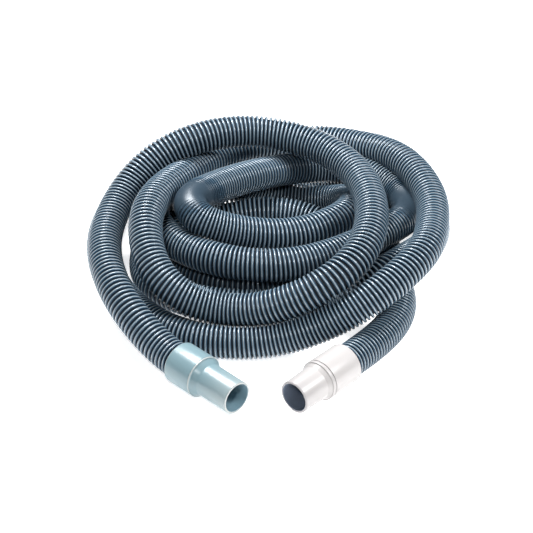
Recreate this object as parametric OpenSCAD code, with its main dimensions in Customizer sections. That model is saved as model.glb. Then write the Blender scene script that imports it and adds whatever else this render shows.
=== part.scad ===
// Pool vacuum hose: a corrugated suction hose lying in a loose pile of turns,
// with a fixed cuff glued on one end and a two-piece swivel cuff on the other.
// Millimetres, +Z up, the floor at z = 0 and the pile centred on the Z axis.

/* [Hose] */
// Outside diameter over the corrugations
hose_od = 48; // [42:1:54]
// Inside diameter of the plain stand-in tube, so that its wall weighs what the real one does
hose_id = 43; // [36:1:46]
// Number of sides of the tube
hose_sides = 12; // [8:1:12]
// Length of hose held inside each cuff
hose_insert = 40; // [30:1:44]
// Straight length of hose behind each cuff's mouth
hose_lead = 12; // [6:1:20]

/* [Cuffs] */
// Bore of both noses, which takes a 1-1/2 in vacuum head or skimmer plate
nose_bore = 39; // [36:0.5:42]
// Outside diameter of both noses at the rim
nose_od = 45.5; // [42:0.5:50]
// Bore of both collars, which the hose is glued into
collar_bore = 48.4; // [46:0.1:52]
// Radius of the moulded rims and edges
edge_round = 1.2; // [0.5:0.1:1.6]

/* [Fixed cuff] */
// Outside diameter of the collar
fixed_collar_od = 58; // [54:0.5:62]
// Length of the collar
fixed_collar_length = 46; // [42:1:60]
// Length of the cone between the collar and the nose
fixed_cone_length = 10; // [6:1:16]
// Whole length of the cuff
fixed_length = 109; // [90:1:130]
// Diameter of the cone where it leaves the collar
fixed_cone_od = 54; // [50:0.5:57]

/* [Swivel cuff] */
// Outside diameter of the collar and of the nose's lip
swivel_collar_od = 56; // [54:0.5:60]
// Length of the collar's outer wall
swivel_collar_length = 49; // [44:1:56]
// Open gap between the collar and the turning nose
swivel_gap = 0.8; // [0.4:0.1:1.5]
// Width of the lip ring at the back of the nose
swivel_lip_length = 5; // [4:0.5:8]
// Whole length of the cuff
swivel_length = 102; // [90:1:120]
// Diameter of the nose where its taper starts
swivel_nose_od = 46.6; // [45:0.1:50]
// Diameter of the collar's spigot, which the nose turns on
spigot_od = 49.4; // [48:0.1:51]
// Diameter of the snap bead at the end of the spigot
bead_od = 51; // [50:0.1:52.5]
// Length of the spigot in front of the collar's shoulder
spigot_length = 4.6; // [4:0.1:6]
// Length of the snap bead
bead_length = 2; // [1.5:0.1:2.5]
// Length of the taper between the lip and the straight nose
swivel_taper_length = 5; // [3:0.5:10]
// Radial clearance of the nose on the spigot
running_clearance = 0.05; // [0.02:0.01:0.1]

/* [Hidden] */
$fn = 96;
hose_radius = hose_od / 2;
hose_wall = (hose_od - hose_id) / 2;

// Middle height of the hose where it lies on the floor, and of each cuff. A mitred ring
// reaches a little below the tube's own radius, so the hose is that much higher.
ring_drop = 0.6;
low = hose_radius + ring_drop;
fixed_rest = fixed_collar_od / 2;
swivel_rest = swivel_collar_od / 2;

// Mouth of each collar, and the turn about Z of the line from the hose out through the nose.
fixed_mouth = [-115, -210, fixed_rest];
fixed_turn = -45;
swivel_mouth = [105, -210, swivel_rest];
swivel_turn = -133;

// Moves the whole pile, so that its middle stands over the origin.
pile_shift = [-7, -43, 0];

// Middle line of the hose between its two cuffs, turn by turn. The numbers are positions
// on the floor and heights above it, before pile_shift.
outer_left = [
    [-160, -165, 42], [-203, -105, 66], [-229, -5, 76], [-216, 100, 84], [-172, 154, 120],
    [-105, 181, 145], [-20, 208, 143]
];
outer_right = [
    [70, 184, 134], [130, 112, 128], [147, 20, 126], [133, -70, 120]
];
second_left = [
    [85, -128, 102], [10, -138, 68], [-55, -126, 54], [-112, -115, 68], [-155, -82, 96],
    [-169, 0, 120], [-150, 80, 118], [-118, 153, 102], [-75, 234, 83]
];
second_right = [
    [-10, 287, 75], [70, 309, 70], [145, 268, 82], [203, 196, 101], [237, 94, 101], [231, 3, 104],
    [211, -74, 109], [150, -135, 88], [85, -153, 54]
];
floor_front = [
    [10, -160, 28], [-75, -156, low], [-148, -122, low], [-208, -42, low], [-236, 50, low]
];
floor_back = [
    [-236, 150, low], [-190, 265, low], [-95, 337, low], [20, 364, low], [140, 345, low],
    [225, 257, low], [250, 160, low]
];
third_front = [
    [240, 80, 32], [212, 7, 58], [170, -58, 74], [115, -83, 52], [50, -77, 28], [-35, -75, low],
    [-113, -58, low], [-165, -13, low], [-173, 62, low], [-150, 125, low]
];
middle_loop = [
    [-88, 141, 27], [-15, 144, 41], [60, 134, 36], [108, 88, 25], [95, 15, low], [30, -20, low],
    [-60, -19, low], [-115, 30, 26], [-114, 90, 48], [-72, 153, 82], [-20, 197, 46],
    [50, 202, low], [106, 186, 36], [130, 142, 60]
];
kinked_loop = [
    [112, 80, 74], [48, 31, 76], [-24, 13, 88], [-85, 10, 108], [-108, 42, 118], [-88, 80, 116],
    [-24, 146, 102], [50, 217, 74], [125, 223, 68]
];
fourth_front = [
    [184, 182, 65], [212, 124, 60], [182, 60, 70], [105, -11, 72], [20, -45, 72], [-65, -35, 75],
    [-125, 10, 72], [-160, 65, 72], [-164, 122, 70], [-148, 194, 37]
];
inner_back = [
    [-100, 272, low], [5, 303, low], [100, 266, low], [162, 207, low], [168, 110, low],
    [178, 8, low]
];
last_right = [
    [186, -70, low], [163, -136, low]
];

function heading(turn) = [cos(turn), sin(turn), 0];

// The straight ends: the last point is inside the collar, the other just behind its mouth.
fixed_end = fixed_mouth + hose_insert * heading(fixed_turn);
fixed_lead = fixed_mouth - hose_lead * heading(fixed_turn);
swivel_end = swivel_mouth + hose_insert * heading(swivel_turn);
swivel_lead = swivel_mouth - hose_lead * heading(swivel_turn);

// The whole line, from the hose's end in the fixed cuff to its end in the swivel cuff.
route = concat(
    [fixed_end, fixed_lead],
    outer_left, outer_right, second_left, second_right, floor_front, floor_back,
    third_front, middle_loop, kinked_loop, fourth_front, inner_back, last_right,
    [swivel_lead, swivel_end]
);
stations = len(route);

// The hose is one piece, given as this many stretches that meet ring to ring.
hose_stretches = 8;

function unit(v) = v / norm(v);
function span(i) = unit(route[i + 1] - route[i]);
function span_in(i) = span(max(i - 1, 0));
function span_out(i) = span(min(i, stations - 2));
function tangent(i) = unit(span_in(i) + span_out(i));

// A square axis carried from ring to ring without twisting about the line.
function carried(axis, i) = unit(axis - (axis * tangent(i)) * tangent(i));
side_axes = [
    for (
        i = 0, axis = carried([0, 0, 1], 0);
        i < stations;
        i = i + 1, axis = carried(axis, min(i, stations - 1))
    )
        axis
];

// Stretches a ring across its bend, so that the tube keeps its width through the mitre.
// A turn smaller than straight_limit counts as none.
straight_limit = 0.001;
function bend_axis(i) =
    let (turn = span_out(i) - span_in(i))
    norm(turn) > straight_limit ? unit(turn) : side_axes[i];
function mitre_gain(i) = 1 / (span_in(i) * tangent(i)) - 1;
function ring(i, radius) = [
    for (k = [0:hose_sides - 1])
        let (
            angle = 360 * k / hose_sides,
            across = cross(tangent(i), side_axes[i]),
            spoke = cos(angle) * side_axes[i] + sin(angle) * across
        )
        route[i] + radius * (spoke + (spoke * bend_axis(i)) * mitre_gain(i) * bend_axis(i))
];

// One skin of a tube as triangles, where first is the index of its first point.
function skin(rings, first, inward) = [
    for (i = [0:rings - 2], k = [0:hose_sides - 1], half = [0:1])
        let (
            next = (k + 1) % hose_sides,
            a = first + i * hose_sides + k,
            b = first + i * hose_sides + next,
            c = a + hose_sides,
            d = b + hose_sides,
            face = half == 0 ? [a, c, b] : [b, c, d]
        )
        inward ? [face[0], face[2], face[1]] : face
];

// The flat ring of wall at one end of the tube.
function rim(outer_first, inner_first, leaving) = [
    for (k = [0:hose_sides - 1], half = [0:1])
        let (
            next = (k + 1) % hose_sides,
            a = outer_first + k,
            b = outer_first + next,
            c = inner_first + k,
            d = inner_first + next,
            face = half == 0 ? [a, b, c] : [c, b, d]
        )
        leaving ? [face[0], face[2], face[1]] : face
];

// Stations where one stretch of hose ends and the next begins, about a turn apart.
function stretch_start(t) = round(t * (stations - 1) / hose_stretches);

// One stretch of the hose: a tube from its first station's ring to its last one's,
// which is also the first ring of the next stretch.
module hose_stretch(t) {
    first = stretch_start(t - 1);
    last = stretch_start(t);
    rings = last - first + 1;
    skin_points = rings * hose_sides;
    last_ring = skin_points - hose_sides;
    points = concat(
        [for (i = [first:last]) each ring(i, hose_radius)],
        [for (i = [first:last]) each ring(i, hose_radius - hose_wall)]
    );
    faces = concat(
        skin(rings, 0, false),
        skin(rings, skin_points, true),
        rim(0, skin_points, false),
        rim(last_ring, skin_points + last_ring, true)
    );
    color("slategray")
        translate(pile_shift)
            polyhedron(points = points, faces = faces);
}

// Lays a turned piece down along its cuff's line, mouth first.
module lay_along(mouth, turn) {
    translate(pile_shift + mouth)
        rotate([0, 90, turn])
            children();
}

// One-piece cuff: a collar, a short cone and a straight nose.
module fixed_cuff() {
    cone_start = fixed_collar_length;
    cone_end = cone_start + fixed_cone_length;
    collar = fixed_collar_od / 2;
    nose = nose_od / 2;
    color("lightsteelblue")
        lay_along(fixed_mouth, fixed_turn)
            rotate_extrude()
                polygon([
                    [collar_bore / 2, 0],
                    [collar - edge_round, 0],
                    [collar, edge_round],
                    [collar, cone_start - edge_round],
                    [collar - edge_round, cone_start],
                    [fixed_cone_od / 2, cone_start],
                    [nose, cone_end],
                    [nose, fixed_length - edge_round],
                    [nose - edge_round, fixed_length],
                    [nose_bore / 2, fixed_length],
                    [nose_bore / 2, hose_insert],
                    [collar_bore / 2, hose_insert]
                ]);
}

// Half of the swivel cuff: it is glued on the hose and ends in the spigot.
module swivel_collar() {
    shoulder = swivel_collar_length;
    tip = shoulder + spigot_length;
    collar = swivel_collar_od / 2;
    throat = (hose_id + nose_bore) / 4;
    color("whitesmoke")
        lay_along(swivel_mouth, swivel_turn)
            rotate_extrude()
                polygon([
                    [collar_bore / 2, 0],
                    [collar - edge_round, 0],
                    [collar, edge_round],
                    [collar, shoulder],
                    [spigot_od / 2, shoulder],
                    [spigot_od / 2, tip - bead_length],
                    [bead_od / 2, tip - bead_length],
                    [bead_od / 2, tip - bead_length / 2],
                    [spigot_od / 2, tip],
                    [throat, tip],
                    [throat, hose_insert],
                    [collar_bore / 2, hose_insert]
                ]);
}

// The other half: it snaps over the spigot's bead and turns on it.
module swivel_nose() {
    back = swivel_collar_length + swivel_gap;
    lip_end = back + swivel_lip_length;
    taper_end = lip_end + swivel_taper_length;
    tip = swivel_collar_length + spigot_length;
    lip = swivel_collar_od / 2;
    bearing = spigot_od / 2 + running_clearance;
    groove = bead_od / 2 + running_clearance;
    groove_start = tip - bead_length - swivel_gap / 2;
    groove_end = tip + swivel_gap / 2;
    color("white")
        lay_along(swivel_mouth, swivel_turn)
            rotate_extrude()
                polygon([
                    [bearing, back],
                    [lip - edge_round, back],
                    [lip, back + edge_round],
                    [lip, lip_end - edge_round],
                    [lip - edge_round, lip_end],
                    [spigot_od / 2 + edge_round, lip_end],
                    [swivel_nose_od / 2, taper_end],
                    [nose_od / 2, swivel_length - edge_round],
                    [nose_od / 2 - edge_round, swivel_length],
                    [nose_bore / 2, swivel_length],
                    [nose_bore / 2, groove_end],
                    [groove, groove_end],
                    [groove, groove_start],
                    [bearing, groove_start]
                ]);
}

hose_stretch(1);  // hose_turn_1
hose_stretch(2);  // hose_turn_2
hose_stretch(3);  // hose_turn_3
hose_stretch(4);  // hose_turn_4
hose_stretch(5);  // hose_turn_5
hose_stretch(6);  // hose_turn_6
hose_stretch(7);  // hose_turn_7
hose_stretch(8);  // hose_turn_8
fixed_cuff();
swivel_collar();
swivel_nose();
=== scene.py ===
import math

import bpy
import numpy as np
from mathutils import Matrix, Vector


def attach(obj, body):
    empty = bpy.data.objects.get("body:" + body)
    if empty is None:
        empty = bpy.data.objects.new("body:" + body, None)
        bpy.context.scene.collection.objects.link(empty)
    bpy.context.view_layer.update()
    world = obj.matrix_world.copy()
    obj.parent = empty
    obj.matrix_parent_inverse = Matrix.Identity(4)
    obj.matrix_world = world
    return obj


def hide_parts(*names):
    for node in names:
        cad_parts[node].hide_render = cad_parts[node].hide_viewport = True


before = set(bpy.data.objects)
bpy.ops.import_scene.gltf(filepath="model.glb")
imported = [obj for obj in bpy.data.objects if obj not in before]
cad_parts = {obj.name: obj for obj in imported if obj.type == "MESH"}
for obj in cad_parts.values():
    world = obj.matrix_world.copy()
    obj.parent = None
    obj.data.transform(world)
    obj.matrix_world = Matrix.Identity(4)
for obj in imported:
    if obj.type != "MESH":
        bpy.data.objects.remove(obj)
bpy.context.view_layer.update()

# ---------------------------------------------------------------- sizes, in metres

HOSE_RADIUS = 0.024
HOSE_INSERT = 0.040
HOSE_LEAD = 0.012
HOSE_STRETCHES = 8
RIB_PITCH = 0.0068
RIB_WIDTH = 0.0049
RIB_HEIGHT = 0.0042
RIB_SHARE = (0.4, 0.72)  # least and most of a pitch that a rib's width takes up
MOST_SQUEEZE = -0.6  # the most that a bend closes the ribs up on its inside
SIDES = 32

FIXED_MOUTH = np.array([-0.115, -0.210, 0.029])
FIXED_TURN = math.radians(-45)
SWIVEL_MOUTH = np.array([0.105, -0.210, 0.028])
SWIVEL_TURN = math.radians(-133)
PILE_SHIFT = np.array([-0.007, -0.043, 0.0])
LOW = 0.0246

# Middle line of the hose between its cuffs, turn by turn, as part.scad has it.
OUTER_LEFT = [
    (-0.160, -0.165, 0.042), (-0.203, -0.105, 0.066), (-0.229, -0.005, 0.076),
    (-0.216, 0.100, 0.084), (-0.172, 0.154, 0.120), (-0.105, 0.181, 0.145), (-0.020, 0.208, 0.143),
]
OUTER_RIGHT = [
    (0.070, 0.184, 0.134), (0.130, 0.112, 0.128), (0.147, 0.020, 0.126), (0.133, -0.070, 0.120),
]
SECOND_LEFT = [
    (0.085, -0.128, 0.102), (0.010, -0.138, 0.068), (-0.055, -0.126, 0.054),
    (-0.112, -0.115, 0.068),
    (-0.155, -0.082, 0.096), (-0.169, 0.000, 0.120), (-0.150, 0.080, 0.118), (-0.118, 0.153, 0.102),
    (-0.075, 0.234, 0.083),
]
SECOND_RIGHT = [
    (-0.010, 0.287, 0.075), (0.070, 0.309, 0.070), (0.145, 0.268, 0.082), (0.203, 0.196, 0.101),
    (0.237, 0.094, 0.101), (0.231, 0.003, 0.104), (0.211, -0.074, 0.109), (0.150, -0.135, 0.088),
    (0.085, -0.153, 0.054),
]
FLOOR_FRONT = [
    (0.010, -0.160, 0.028), (-0.075, -0.156, LOW), (-0.148, -0.122, LOW), (-0.208, -0.042, LOW),
    (-0.236, 0.050, LOW),
]
FLOOR_BACK = [
    (-0.236, 0.150, LOW), (-0.190, 0.265, LOW), (-0.095, 0.337, LOW), (0.020, 0.364, LOW),
    (0.140, 0.345, LOW), (0.225, 0.257, LOW), (0.250, 0.160, LOW),
]
THIRD_FRONT = [
    (0.240, 0.080, 0.032), (0.212, 0.007, 0.058), (0.170, -0.058, 0.074), (0.115, -0.083, 0.052),
    (0.050, -0.077, 0.028), (-0.035, -0.075, LOW), (-0.113, -0.058, LOW), (-0.165, -0.013, LOW),
    (-0.173, 0.062, LOW), (-0.150, 0.125, LOW),
]
MIDDLE_LOOP = [
    (-0.088, 0.141, 0.027), (-0.015, 0.144, 0.041), (0.060, 0.134, 0.036), (0.108, 0.088, 0.025),
    (0.095, 0.015, LOW), (0.030, -0.020, LOW), (-0.060, -0.019, LOW), (-0.115, 0.030, 0.026),
    (-0.114, 0.090, 0.048), (-0.072, 0.153, 0.082), (-0.020, 0.197, 0.046), (0.050, 0.202, LOW),
    (0.106, 0.186, 0.036), (0.130, 0.142, 0.060),
]
KINKED_LOOP = [
    (0.112, 0.080, 0.074), (0.048, 0.031, 0.076), (-0.024, 0.013, 0.088), (-0.085, 0.010, 0.108),
    (-0.108, 0.042, 0.118), (-0.088, 0.080, 0.116), (-0.024, 0.146, 0.102), (0.050, 0.217, 0.074),
    (0.125, 0.223, 0.068),
]
FOURTH_FRONT = [
    (0.184, 0.182, 0.065), (0.212, 0.124, 0.060), (0.182, 0.060, 0.070), (0.105, -0.011, 0.072),
    (0.020, -0.045, 0.072), (-0.065, -0.035, 0.075), (-0.125, 0.010, 0.072), (-0.160, 0.065, 0.072),
    (-0.164, 0.122, 0.070), (-0.148, 0.194, 0.037),
]
INNER_BACK = [
    (-0.100, 0.272, LOW), (0.005, 0.303, LOW), (0.100, 0.266, LOW), (0.162, 0.207, LOW),
    (0.168, 0.110, LOW), (0.178, 0.008, LOW),
]
LAST_RIGHT = [
    (0.186, -0.070, LOW), (0.163, -0.136, LOW),
]


def heading(turn):
    return np.array([math.cos(turn), math.sin(turn), 0.0])


def hose_route():
    """The route's points from the hose's end in the fixed cuff to its end in the swivel cuff."""
    fixed, swivel = heading(FIXED_TURN), heading(SWIVEL_TURN)
    middle = (
        OUTER_LEFT + OUTER_RIGHT + SECOND_LEFT + SECOND_RIGHT + FLOOR_FRONT + FLOOR_BACK
        + THIRD_FRONT + MIDDLE_LOOP + KINKED_LOOP + FOURTH_FRONT + INNER_BACK + LAST_RIGHT
    )
    points = [
        FIXED_MOUTH + HOSE_INSERT * fixed,
        FIXED_MOUTH - HOSE_LEAD * fixed,
        *middle,
        SWIVEL_MOUTH - HOSE_LEAD * swivel,
        SWIVEL_MOUTH + HOSE_INSERT * swivel,
    ]
    return np.array(points) + PILE_SHIFT


# ---------------------------------------------------------------- the hose's middle line

LINE_STEP = 0.002
FLOOR_GAP = 0.0002
BEND_REACH = 6
POINT_REACH = 0.16
CONTACT_REACH = 0.0495
CONTACT_APART = 0.10
CONTACT_SLOTS = 6


def smooth_line(points, per_span=48):
    """A cubic B-spline that passes by the route's points, as a dense list of points."""
    ends = np.vstack([2 * points[0] - points[1], points, 2 * points[-1] - points[-2]])
    control = ends.copy()
    control[1:-1] -= (ends[:-2] - 2 * ends[1:-1] + ends[2:]) / 6
    control = np.vstack([2 * control[1] - control[2], control[1:-1], 2 * control[-2] - control[-3]])
    t = (np.arange(per_span) / per_span)[:, None]
    weights = [
        (1 - t) ** 3 / 6,
        (3 * t**3 - 6 * t**2 + 4) / 6,
        (-3 * t**3 + 3 * t**2 + 3 * t + 1) / 6,
        t**3 / 6,
    ]
    spans = [
        sum(w * control[i + j] for j, w in enumerate(weights))
        for i in range(len(control) - 3)
    ]
    line = np.vstack([*spans, points[-1:]])
    line[:, 2] = np.maximum(line[:, 2], HOSE_RADIUS + FLOOR_GAP)
    return line


def evenly(line, step):
    """The line resampled at one step along its length, and the length."""
    along = np.concatenate([[0], np.cumsum(np.linalg.norm(np.diff(line, axis=0), axis=1))])
    count = int(round(along[-1] / step))
    at = np.linspace(0, along[-1], count + 1)
    return np.stack([np.interp(at, along, line[:, k]) for k in range(3)], 1), along[-1]


def averaged(values, reach):
    """A running mean over reach samples on each side."""
    kernel = np.hanning(2 * reach + 3)[1:-1]
    kernel /= kernel.sum()
    first, last = np.repeat(values[:1], reach, 0), np.repeat(values[-1:], reach, 0)
    padded = np.concatenate([first, values, last])
    return np.stack([np.convolve(padded[:, k], kernel, "valid") for k in range(values.shape[1])], 1)


class HoseLine:
    """The middle line with its directions, bends and the strands that press against it."""

    def __init__(self):
        self.points, self.length = evenly(smooth_line(hose_route()), LINE_STEP)
        self.step = self.length / (len(self.points) - 1)
        direction = np.gradient(self.points, axis=0)
        self.ahead = direction / np.linalg.norm(direction, axis=1)[:, None]
        self.side = self.carried_side()
        self.other = np.cross(self.ahead, self.side)
        self.bend = averaged(np.gradient(self.ahead, axis=0) / self.step, BEND_REACH)

    def carried_side(self):
        side = np.zeros_like(self.ahead)
        side[0] = (0, 0, 1)
        for i in range(1, len(side)):
            v = side[i - 1] - side[i - 1].dot(self.ahead[i]) * self.ahead[i]
            side[i] = v / np.linalg.norm(v)
        return side

    def lengths_at(self, numbers):
        """Lengths along the line of places given by the numbers of the route's points."""
        nearest, start = [], 0
        for p in hose_route():
            reach = self.points[start : start + int(POINT_REACH / self.step)]
            start += int(np.argmin(np.linalg.norm(reach - p, axis=1)))
            nearest.append(start * self.step)
        return np.interp(numbers, np.arange(len(nearest)), nearest)

    def at(self, table, along):
        """table interpolated at lengths along the line."""
        x = np.clip(along / self.step, 0, len(table) - 1)
        i = np.minimum(x.astype(int), len(table) - 2)
        f = (x - i)[..., None]
        return table[i] * (1 - f) + table[i + 1] * f

    def contacts(self, reach=CONTACT_REACH, apart=CONTACT_APART, slots=CONTACT_SLOTS):
        """For each sample, the middles of up to a few other strands nearer than reach."""
        count = len(self.points)
        gap = int(apart / self.step)
        found = np.full((count, slots, 3), np.nan)
        for i, p in enumerate(self.points):
            d = np.linalg.norm(self.points - p, axis=1)
            d[max(0, i - gap) : i + gap + 1] = 1.0
            near = np.where(d < reach)[0]
            if len(near) == 0:
                continue
            runs = np.split(near, np.where(np.diff(near) > 3)[0] + 1)
            runs.sort(key=lambda run: d[run].min())
            for slot, run in enumerate(runs[:slots]):
                found[i, slot] = self.points[run[np.argmin(d[run])]]
        return found


# ---------------------------------------------------------------- materials

NODE_GAP = 220


class Shader:
    """A material's node tree, with short ways to add nodes and link them."""

    def __init__(self, name):
        self.material = bpy.data.materials.new(name)
        self.material.use_nodes = True
        self.tree = self.material.node_tree
        self.surface = self.tree.nodes["Principled BSDF"]
        self.count = 0

    def add(self, kind, **settings):
        node = self.tree.nodes.new(kind)
        self.count += 1
        node.location = (-NODE_GAP * self.count, 0)
        for key, value in settings.items():
            setattr(node, key, value)
        return node

    def link(self, source, target):
        self.tree.links.new(source, target)

    def noise(self, scale, detail, roughness=0.5, vector=None):
        node = self.add("ShaderNodeTexNoise")
        node.inputs["Scale"].default_value = scale
        node.inputs["Detail"].default_value = detail
        node.inputs["Roughness"].default_value = roughness
        if vector is not None:
            self.link(vector, node.inputs["Vector"])
        return node.outputs["Fac"]

    def coordinates(self):
        return self.add("ShaderNodeTexCoord").outputs["Object"]

    def ramp(self, source, stops):
        node = self.add("ShaderNodeValToRGB")
        while len(node.color_ramp.elements) < len(stops):
            node.color_ramp.elements.new(0.5)
        for element, (place, color) in zip(node.color_ramp.elements, stops):
            element.position = place
            element.color = (*color, 1.0)
        self.link(source, node.inputs["Fac"])
        return node.outputs["Color"]

    def spread(self, source, low, high):
        """source from 0..1 to low..high."""
        node = self.add("ShaderNodeMapRange")
        node.inputs["To Min"].default_value = low
        node.inputs["To Max"].default_value = high
        self.link(source, node.inputs["Value"])
        return node.outputs["Result"]

    def mix(self, share, first, second):
        """Colours, or greys that stand for values, mixed by share."""
        node = self.add("ShaderNodeMix", data_type="RGBA")
        for value, socket in ((share, 0), (first, 6), (second, 7)):
            if hasattr(value, "is_output"):
                self.link(value, node.inputs[socket])
            else:
                node.inputs[socket].default_value = (*value, 1.0)
        return node.outputs[2]

    def bump(self, height, distance, strength):
        node = self.add("ShaderNodeBump")
        node.inputs["Distance"].default_value = distance
        node.inputs["Strength"].default_value = strength
        self.link(height, node.inputs["Height"])
        self.link(node.outputs["Normal"], self.surface.inputs["Normal"])


def srgb(r, g, b):
    """A colour given as the eye sees it, from 0 to 255, in the linear values that nodes use."""
    return tuple(
        c / 12.92 if c <= 0.04045 else ((c + 0.055) / 1.055) ** 2.4
        for c in (r / 255, g / 255, b / 255)
    )


# Where a fold's smooth wall comes in the scale of the ribs' heights, from groove 0 to crest 1.
FOLD_SHADE = 0.76


def hose_material():
    shader = Shader("hose_plastic")
    height = shader.add("ShaderNodeAttribute", attribute_name="rib").outputs["Fac"]
    # Colour by rib height, from groove 0 to crest 1; the stops at 0.72 and 0.95 are the slate
    # plastic's own colour.
    ribs = shader.ramp(
        height,
        [
            # painted shade: the groove stops (0 and 0.45) are near-black navy, darker than the
            # slate plastic, for the shade deep in the grooves
            (0.0, srgb(2, 9, 18)),
            (0.45, srgb(6, 21, 37)),
            (0.72, srgb(42, 64, 82)),
            (0.95, srgb(67, 90, 107)),
            # painted highlight: the crest's top stop is a pale grey line along the top of every rib
            (1.0, srgb(146, 155, 160)),
        ],
    )
    place = shader.coordinates()
    blotches = shader.noise(9.0, 4.0, 0.55, place)
    tone = shader.mix(shader.spread(blotches, 0.0, 0.12), ribs, srgb(56, 74, 92))
    fold = shader.add("ShaderNodeAttribute", attribute_name="fold").outputs["Fac"]
    wall = shader.mix(shader.spread(blotches, 0.0, 1.0), srgb(36, 50, 62), srgb(50, 64, 75))
    shader.link(shader.mix(fold, tone, wall), shader.surface.inputs["Base Color"])
    fine = shader.noise(160.0, 3.0, 0.6, place)
    gloss = shader.spread(fine, 0.16, 0.25)
    dull = shader.ramp(height, [(0.3, (0.75, 0.75, 0.75)), (0.7, (0.0, 0.0, 0.0))])
    rough = shader.add("ShaderNodeMath", operation="MAXIMUM")
    shader.link(gloss, rough.inputs[0])
    shader.link(dull, rough.inputs[1])
    worked = shader.mix(fold, rough.outputs["Value"], (0.36, 0.36, 0.36))
    shader.link(worked, shader.surface.inputs["Roughness"])
    shader.surface.inputs["Specular IOR Level"].default_value = 0.5
    shader.surface.inputs["Specular Tint"].default_value = (0.88, 0.94, 1.0, 1.0)
    shader.bump(fine, 0.0001, 0.3)
    return shader.material


def cuff_material(name, body, shade, edge, bore):
    """Satin moulded plastic: body with smudges of a deeper shade, and its rims and bore."""
    shader = Shader(name)
    place = shader.coordinates()
    broad = shader.noise(14.0, 4.0, 0.5, place)
    tone = shader.mix(shader.spread(broad, 0.0, 0.35), body, shade)
    # Rims: paler worn plastic on the grey cuff; on the white cuff a darker grey, painted shade at
    # the lips.
    rim_wear_and_shade = shader.add("ShaderNodeAttribute", attribute_name="edge").outputs["Fac"]
    worn_and_shaded_rims = shader.mix(rim_wear_and_shade, tone, edge)
    # Bore: on the white cuff a dark slate blue, painted shade inside the bore; on the grey cuff a
    # touch lighter and bluer than its body, painted light against the bore's shade.
    inside = shader.add("ShaderNodeAttribute", attribute_name="inside").outputs["Fac"]
    hollow = shader.mix(inside, worn_and_shaded_rims, bore)
    shader.link(hollow, shader.surface.inputs["Base Color"])
    shader.link(shader.spread(broad, 0.26, 0.34), shader.surface.inputs["Roughness"])
    return shader.material


# ---------------------------------------------------------------- building meshes

def mesh_object(name, vertices, faces, material, floats=None):
    """A smooth-shaded mesh; floats gives values by vertex for the material to read."""
    mesh = bpy.data.meshes.new(name)
    mesh.vertices.add(len(vertices))
    mesh.vertices.foreach_set("co", np.asarray(vertices, np.float32).ravel())
    faces = np.asarray(faces, np.int32)
    mesh.loops.add(faces.size)
    mesh.loops.foreach_set("vertex_index", faces.ravel())
    mesh.polygons.add(len(faces))
    starts = np.arange(0, faces.size, faces.shape[1], dtype=np.int32)
    mesh.polygons.foreach_set("loop_start", starts)
    mesh.update(calc_edges=True)
    mesh.validate()
    mesh.polygons.foreach_set("use_smooth", np.full(len(mesh.polygons), True))
    for key, values in (floats or {}).items():
        layer = mesh.attributes.new(key, "FLOAT", "POINT")
        layer.data.foreach_set("value", np.asarray(values, np.float32))
    mesh.materials.append(material)
    made = bpy.data.objects.new(name, mesh)
    bpy.context.scene.collection.objects.link(made)
    return made


# One rib from the groove behind it: place across the rib's width, and height. The first row
# is the middle of the groove.
RIB_OUTLINE = [
    (None, 0.0), (0.00, 0.0), (0.03, 0.40), (0.11, 0.78), (0.28, 0.95),
    (0.50, 1.0), (0.72, 0.95), (0.89, 0.78), (0.97, 0.40), (1.00, 0.0),
]

# How far the spiral is drawn out or closed up, by the number of the route's point.
RIB_SPACING = [
    (0, 1.00), (4, 1.02), (7, 0.95), (9, 0.97), (11, 1.08), (14, 0.95), (17, 0.90), (19, 1.05),
    (20, 1.25), (21, 1.20), (22, 1.05), (24, 1.08), (27, 1.15), (29, 0.84), (32, 0.90), (34, 0.90),
    (55, 0.94), (67, 0.95), (68.8, 0.92), (69.8, 0.66), (70.5, 0.52), (72, 0.58), (72.7, 0.80),
    (74, 1.00), (75, 0.90), (76, 0.70), (77.2, 0.65), (78, 0.86), (79, 0.86), (83, 0.88),
    (91, 0.92), (95, 0.86),
]

# Kinks, where the wall has folded and its ribs are drawn flat: from and to, by the number of
# the route's point, and how far the ribs fade out beyond on the outside and inside of the fold.
KINKS = [(70.8, 71.4), (76.8, 77.6)]
KINK_FADE = (0.008, 0.052)
FADE_STEEPNESS = 1.4


def rib_places(line):
    """Lengths along the line where each rib's turn starts, one after another."""
    known = line.lengths_at([number for number, _ in RIB_SPACING])
    spacing = [factor for _, factor in RIB_SPACING]
    fine = np.linspace(0, line.length, len(line.points))
    pitch = RIB_PITCH * np.interp(fine, known, spacing)
    count = np.concatenate([[0], np.cumsum(np.diff(fine) / ((pitch[1:] + pitch[:-1]) / 2))])
    turns = int(count[-1])
    return fine, count * (turns / count[-1]), turns


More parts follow.
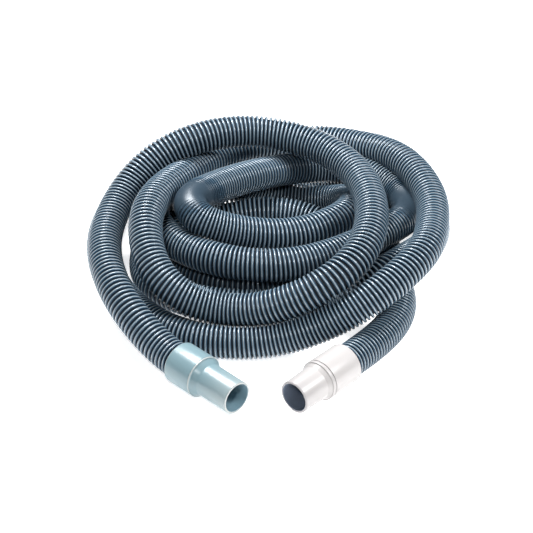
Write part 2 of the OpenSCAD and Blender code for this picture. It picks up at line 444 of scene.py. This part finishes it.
def hose_mesh(line, material):
    """The corrugated wall: one helical rib, whose outline is repeated once a pitch."""
    fine, count, turns = rib_places(line)
    turns -= 1
    per_turn = len(RIB_OUTLINE)
    rows = turns * per_turn
    column = np.arange(SIDES) / SIDES
    angle = 2 * np.pi * column[None, :]
    rib_middle = np.interp(np.arange(turns)[:, None] + 0.5 + column, count, fine)
    local_pitch = np.interp(rib_middle, fine, np.gradient(fine, count))
    spoke, bend = spokes_at(line, rib_middle, angle)
    strain = -(spoke * bend).sum(2) * HOSE_RADIUS
    stretched = local_pitch * (1 + np.maximum(strain, MOST_SQUEEZE))
    width = np.clip(RIB_WIDTH / stretched, *RIB_SHARE)
    share = np.empty((turns, per_turn, SIDES))
    for k, (across, _) in enumerate(RIB_OUTLINE):
        share[:, k] = 0.0 if across is None else 0.5 + (across - 0.5) * width
    turn_number = np.arange(turns)[:, None, None] + share + column
    along = np.interp(turn_number, count, fine).reshape(rows, SIDES)
    folded = np.zeros_like(strain)
    for start, end in np.reshape(line.lengths_at(np.ravel(KINKS)), (-1, 2)):
        beyond = np.maximum(np.maximum(start - rib_middle, rib_middle - end), 0)
        inward = (spoke * line.at(line.bend, (start + end) / 2 + np.zeros((1, 1)))).sum(2)
        inward = 0.5 + 0.5 * inward / np.abs(inward).max()
        fade = KINK_FADE[0] + (KINK_FADE[1] - KINK_FADE[0]) * inward
        folded = np.maximum(folded, np.clip(FADE_STEEPNESS * (1 - beyond / fade), 0, 1))
    folded = np.repeat(folded, per_turn, 0)
    depth = 1 - folded
    stand = np.tile([h for _, h in RIB_OUTLINE], turns)[:, None] * np.ones_like(angle)
    middle = line.at(line.points, along)
    spoke, _ = spokes_at(line, along, angle)
    radius = HOSE_RADIUS - RIB_HEIGHT * (1 - stand) * depth
    points = pressed(middle + radius[..., None] * spoke, middle, along, line)
    floats = {
        "rib": (stand + (FOLD_SHADE - stand) * folded).ravel(),
        "fold": folded.ravel(),
    }
    return mesh_object(
        "hose_wall", points.reshape(-1, 3), helix_quads(rows, per_turn), material, floats
    )


def spokes_at(line, along, angle):
    """Directions from the middle line out to the wall, and the line's bend there."""
    side, other = line.at(line.side, along), line.at(line.other, along)
    spoke = np.cos(angle)[..., None] * side + np.sin(angle)[..., None] * other
    return spoke / np.linalg.norm(spoke, axis=2)[..., None], line.at(line.bend, along)


def helix_quads(rows, per_turn):
    """Faces between neighbours of the helical grid; the last column meets the first, a turn on."""
    index = np.arange(rows * SIDES).reshape(rows, SIDES)
    flat = np.stack(
        [index[:-1, :-1], index[:-1, 1:], index[1:, 1:], index[1:, :-1]], -1
    ).reshape(-1, 4)
    keep = rows - per_turn - 1
    seam = np.stack(
        [
            index[:keep, -1],
            index[per_turn : per_turn + keep, 0],
            index[per_turn + 1 : per_turn + 1 + keep, 0],
            index[1 : keep + 1, -1],
        ],
        -1,
    )
    return np.vstack([flat, seam])


WALL_GAP = 0.0002
WALL_LOWEST = 0.0003


def pressed(points, middle, along, line):
    """Flattens the wall where it meets another strand or the floor."""
    sample = np.clip(np.round(along / line.step).astype(int), 0, len(line.points) - 1)
    others = line.contacts()
    for slot in range(others.shape[1]):
        facing = others[:, slot][sample]
        between = facing - middle
        apart = np.linalg.norm(between, axis=2)
        valid = np.isfinite(apart)
        toward = np.where(valid[..., None], between / np.maximum(apart, 1e-6)[..., None], 0.0)
        beyond = ((points - middle) * toward).sum(2) - (apart / 2 - WALL_GAP)
        push = np.where(valid & (beyond > 0), beyond, 0.0)
        points = points - push[..., None] * toward
    points[..., 2] = np.maximum(points[..., 2], WALL_LOWEST)
    return points


ARC_STEPS = 6
LONGEST_CUT = 0.49  # share of an outline's side that one corner's arc may take


def rounded(outline):
    """An outline's points (x, r, radius) with each corner turned into an arc of that radius."""
    made = []
    count = len(outline)
    for i, (x, r, fillet) in enumerate(outline):
        here = np.array([x, r])
        if fillet == 0:
            made.append(here)
            continue
        before = np.array(outline[i - 1][:2]) - here
        after = np.array(outline[(i + 1) % count][:2]) - here
        before_length, after_length = np.linalg.norm(before), np.linalg.norm(after)
        u, v = before / before_length, after / after_length
        half = math.acos(max(-1.0, min(1.0, float(u @ v)))) / 2
        cut = min(fillet / math.tan(half), LONGEST_CUT * before_length, LONGEST_CUT * after_length)
        for k in range(ARC_STEPS + 1):
            t = k / ARC_STEPS
            a, b = here + u * cut, here + v * cut
            made.append((1 - t) ** 2 * a + 2 * t * (1 - t) * here + t * t * b)
    return np.array(made)


CUFF_SEGMENTS = 96
BORE_MARGIN = 0.0004


def turned(name, mouth, turn, outline, material, edges, bore):
    """A closed piece turned about its cuff's line. edges are the rims, as (x, r, width)."""
    profile = rounded(outline)
    count = len(profile)
    ahead = heading(turn)
    side = np.array([0.0, 0.0, 1.0])
    other = np.cross(ahead, side)
    angle = 2 * np.pi * np.arange(CUFF_SEGMENTS) / CUFF_SEGMENTS
    spoke = np.cos(angle)[:, None] * side + np.sin(angle)[:, None] * other
    base = mouth + PILE_SHIFT
    points = (
        base
        + profile[:, 0][:, None, None] * ahead
        + profile[:, 1][:, None, None] * spoke[None]
    )
    index = np.arange(count * CUFF_SEGMENTS).reshape(count, CUFF_SEGMENTS)
    ahead_index = np.roll(index, -1, 0)
    quads = np.stack(
        [index, np.roll(index, -1, 1), np.roll(ahead_index, -1, 1), ahead_index], -1
    ).reshape(-1, 4)
    edge = np.zeros(count)
    for x, r, width in edges:
        distance = np.hypot(profile[:, 0] - x, profile[:, 1] - r)
        edge = np.maximum(edge, np.clip(1 - distance / width, 0, 1))
    inside = (profile[:, 1] < bore + BORE_MARGIN).astype(float)
    floats = {
        "edge": np.repeat(edge, CUFF_SEGMENTS),
        "inside": np.repeat(inside, CUFF_SEGMENTS),
    }
    return mesh_object(name, points.reshape(-1, 3), quads, material, floats)


# ---------------------------------------------------------------- cuffs

NOSE_BORE = 0.0195
NOSE_RADIUS = 0.02275
COLLAR_BORE = 0.0242
SPIGOT_BORE = 0.0205


def fixed_cuff_piece(material):
    collar = 0.029
    outline = [
        (0.0000, COLLAR_BORE, 0.0004),
        (0.0000, collar, 0.0022),
        (0.0443, collar, 0.0003),
        (0.0445, collar - 0.0004, 0.0002),
        (0.0450, collar - 0.0004, 0.0002),
        (0.0452, collar, 0.0003),
        (0.0466, collar, 0.0006),
        (0.0474, 0.0272, 0.0010),
        (0.0560, NOSE_RADIUS, 0.0050),
        (0.1090, NOSE_RADIUS, 0.0014),
        (0.1090, NOSE_BORE, 0.0012),
        (0.0400, NOSE_BORE, 0.0004),
        (0.0400, COLLAR_BORE, 0.0004),
    ]
    edges = [(0.0459, collar, 0.0016), (0.1090, 0.0211, 0.0030), (0.0, 0.028, 0.0020)]
    return turned(
        "fixed_cuff_shell", FIXED_MOUTH, FIXED_TURN, outline, material, edges, NOSE_BORE
    )


def swivel_collar_piece(material):
    collar = 0.028
    outline = [
        (0.0000, COLLAR_BORE, 0.0004),
        (0.0000, collar, 0.0018),
        (0.0490, collar, 0.0007),
        (0.0490, 0.0247, 0.0003),
        (0.0536, 0.0247, 0.0006),
        (0.0536, SPIGOT_BORE, 0.0004),
        (0.0400, SPIGOT_BORE, 0.0004),
        (0.0400, COLLAR_BORE, 0.0004),
    ]
    edges = [(0.0, 0.027, 0.0020)]
    return turned(
        "swivel_collar_shell", SWIVEL_MOUTH, SWIVEL_TURN, outline, material, edges, SPIGOT_BORE
    )


def swivel_nose_piece(material):
    lip = 0.028
    outline = [
        (0.0498, 0.0248, 0.0002),
        (0.0498, lip, 0.0012),
        (0.0548, lip, 0.0014),
        (0.0552, 0.0262, 0.0006),
        (0.0590, 0.0245, 0.0012),
        (0.0612, 0.0234, 0.0020),
        (0.1020, NOSE_RADIUS, 0.0014),
        (0.1020, NOSE_BORE, 0.0012),
        (0.0540, NOSE_BORE, 0.0004),
        (0.0540, 0.0248, 0.0002),
    ]
    edges = [(0.0523, lip, 0.0018), (0.1020, 0.0211, 0.0030)]
    return turned(
        "swivel_nose_shell", SWIVEL_MOUTH, SWIVEL_TURN, outline, material, edges, NOSE_BORE
    )


# ---------------------------------------------------------------- camera, light and floor

CAMERA_TARGET = Vector((-0.007, -0.043, 0.040))
CAMERA_DISTANCE = 2.45
CAMERA_RISE = math.radians(34)
CAMERA_LENS = 116.2


def add_camera():
    data = bpy.data.cameras.new("camera")
    data.lens = CAMERA_LENS
    made = bpy.data.objects.new("camera", data)
    back = Vector((0.0, -math.cos(CAMERA_RISE), math.sin(CAMERA_RISE)))
    made.location = CAMERA_TARGET + back * CAMERA_DISTANCE
    made.rotation_euler = (-back).to_track_quat("-Z", "Y").to_euler()
    bpy.context.scene.collection.objects.link(made)
    bpy.context.scene.camera = made


LIGHT_AIM = Vector((0.0, 0.0, 0.05))


def add_softbox(name, place, width, depth, power):
    data = bpy.data.lights.new(name, "AREA")
    data.shape = "RECTANGLE"
    data.size, data.size_y = width, depth
    data.energy = power
    made = bpy.data.objects.new(name, data)
    made.location = place
    made.rotation_euler = (LIGHT_AIM - Vector(place)).to_track_quat("-Z", "Y").to_euler()
    bpy.context.scene.collection.objects.link(made)


def add_world():
    world = bpy.data.worlds.new("studio")
    world.use_nodes = True
    background = world.node_tree.nodes["Background"]
    background.inputs["Color"].default_value = (0.95, 0.97, 1.0, 1.0)
    background.inputs["Strength"].default_value = 0.03
    bpy.context.scene.world = world


FLOOR_SIZE = 24.0
GLOW_FROM, GLOW_FULL = 0.10, 0.19
GLOW_STRENGTH = 0.75


def add_floor():
    """Pale paper, which gives off light of its own except under the middle of the pile."""
    shader = Shader("studio_paper")
    grain = shader.noise(3.0, 2.0)
    tone = shader.mix(shader.spread(grain, 0.0, 1.0), (0.90, 0.90, 0.90), (0.93, 0.93, 0.93))
    shader.link(tone, shader.surface.inputs["Base Color"])
    shader.surface.inputs["Roughness"].default_value = 0.9
    shader.surface.inputs["Emission Color"].default_value = (1.0, 1.0, 1.0, 1.0)
    out = shader.add("ShaderNodeVectorMath", operation="LENGTH")
    shader.link(shader.coordinates(), out.inputs[0])
    glow = shader.add("ShaderNodeMapRange", interpolation_type="SMOOTHSTEP")
    glow.inputs["From Min"].default_value = GLOW_FROM
    glow.inputs["From Max"].default_value = GLOW_FULL
    glow.inputs["To Max"].default_value = GLOW_STRENGTH
    shader.link(out.outputs["Value"], glow.inputs["Value"])
    shader.link(glow.outputs["Result"], shader.surface.inputs["Emission Strength"])
    half = FLOOR_SIZE / 2
    corners = [(-half, -half, 0), (half, -half, 0), (half, half, 0), (-half, half, 0)]
    floor = mesh_object("floor", corners, [(0, 1, 2, 3)], shader.material)


# ---------------------------------------------------------------- the scene

add_camera()

ROOT_BODY = "hose_and_collars"
NOSE_BODY = "nose"

line = HoseLine()
hose = hose_mesh(line, hose_material())
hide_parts(*[f"hose_turn_{turn}" for turn in range(1, HOSE_STRETCHES + 1)])
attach(hose, ROOT_BODY)

grey = cuff_material(
    "grey_plastic",
    body=srgb(116, 140, 147),
    shade=srgb(92, 120, 132),
    edge=srgb(180, 182, 179),
    # bore a touch lighter and bluer than the body: painted light against the shade inside the bore
    bore=srgb(118, 146, 158),
)
white = cuff_material(
    "white_plastic",
    body=srgb(178, 175, 174),
    shade=srgb(166, 163, 165),
    # darker grey rims: painted shade at the lips
    edge=srgb(150, 147, 149),
    # dark slate blue bore: painted shade inside the white cuff
    bore=srgb(112, 122, 138),
)

fixed_cuff = fixed_cuff_piece(grey)
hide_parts("fixed_cuff")
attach(fixed_cuff, ROOT_BODY)

swivel_collar = swivel_collar_piece(white)
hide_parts("swivel_collar")
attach(swivel_collar, ROOT_BODY)

swivel_nose = swivel_nose_piece(white)
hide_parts("swivel_nose")
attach(swivel_nose, NOSE_BODY)

add_floor()
add_world()
add_softbox("top_softbox", (-0.4, 0.5, 1.4), 0.9, 0.5, 52)
add_softbox("front_lamp", (-0.3, -1.8, 1.8), 0.12, 0.12, 15)
add_softbox("right_lamp", (1.1, -0.5, 1.2), 0.5, 0.5, 25)

bpy.context.scene.view_settings.view_transform = "Standard"
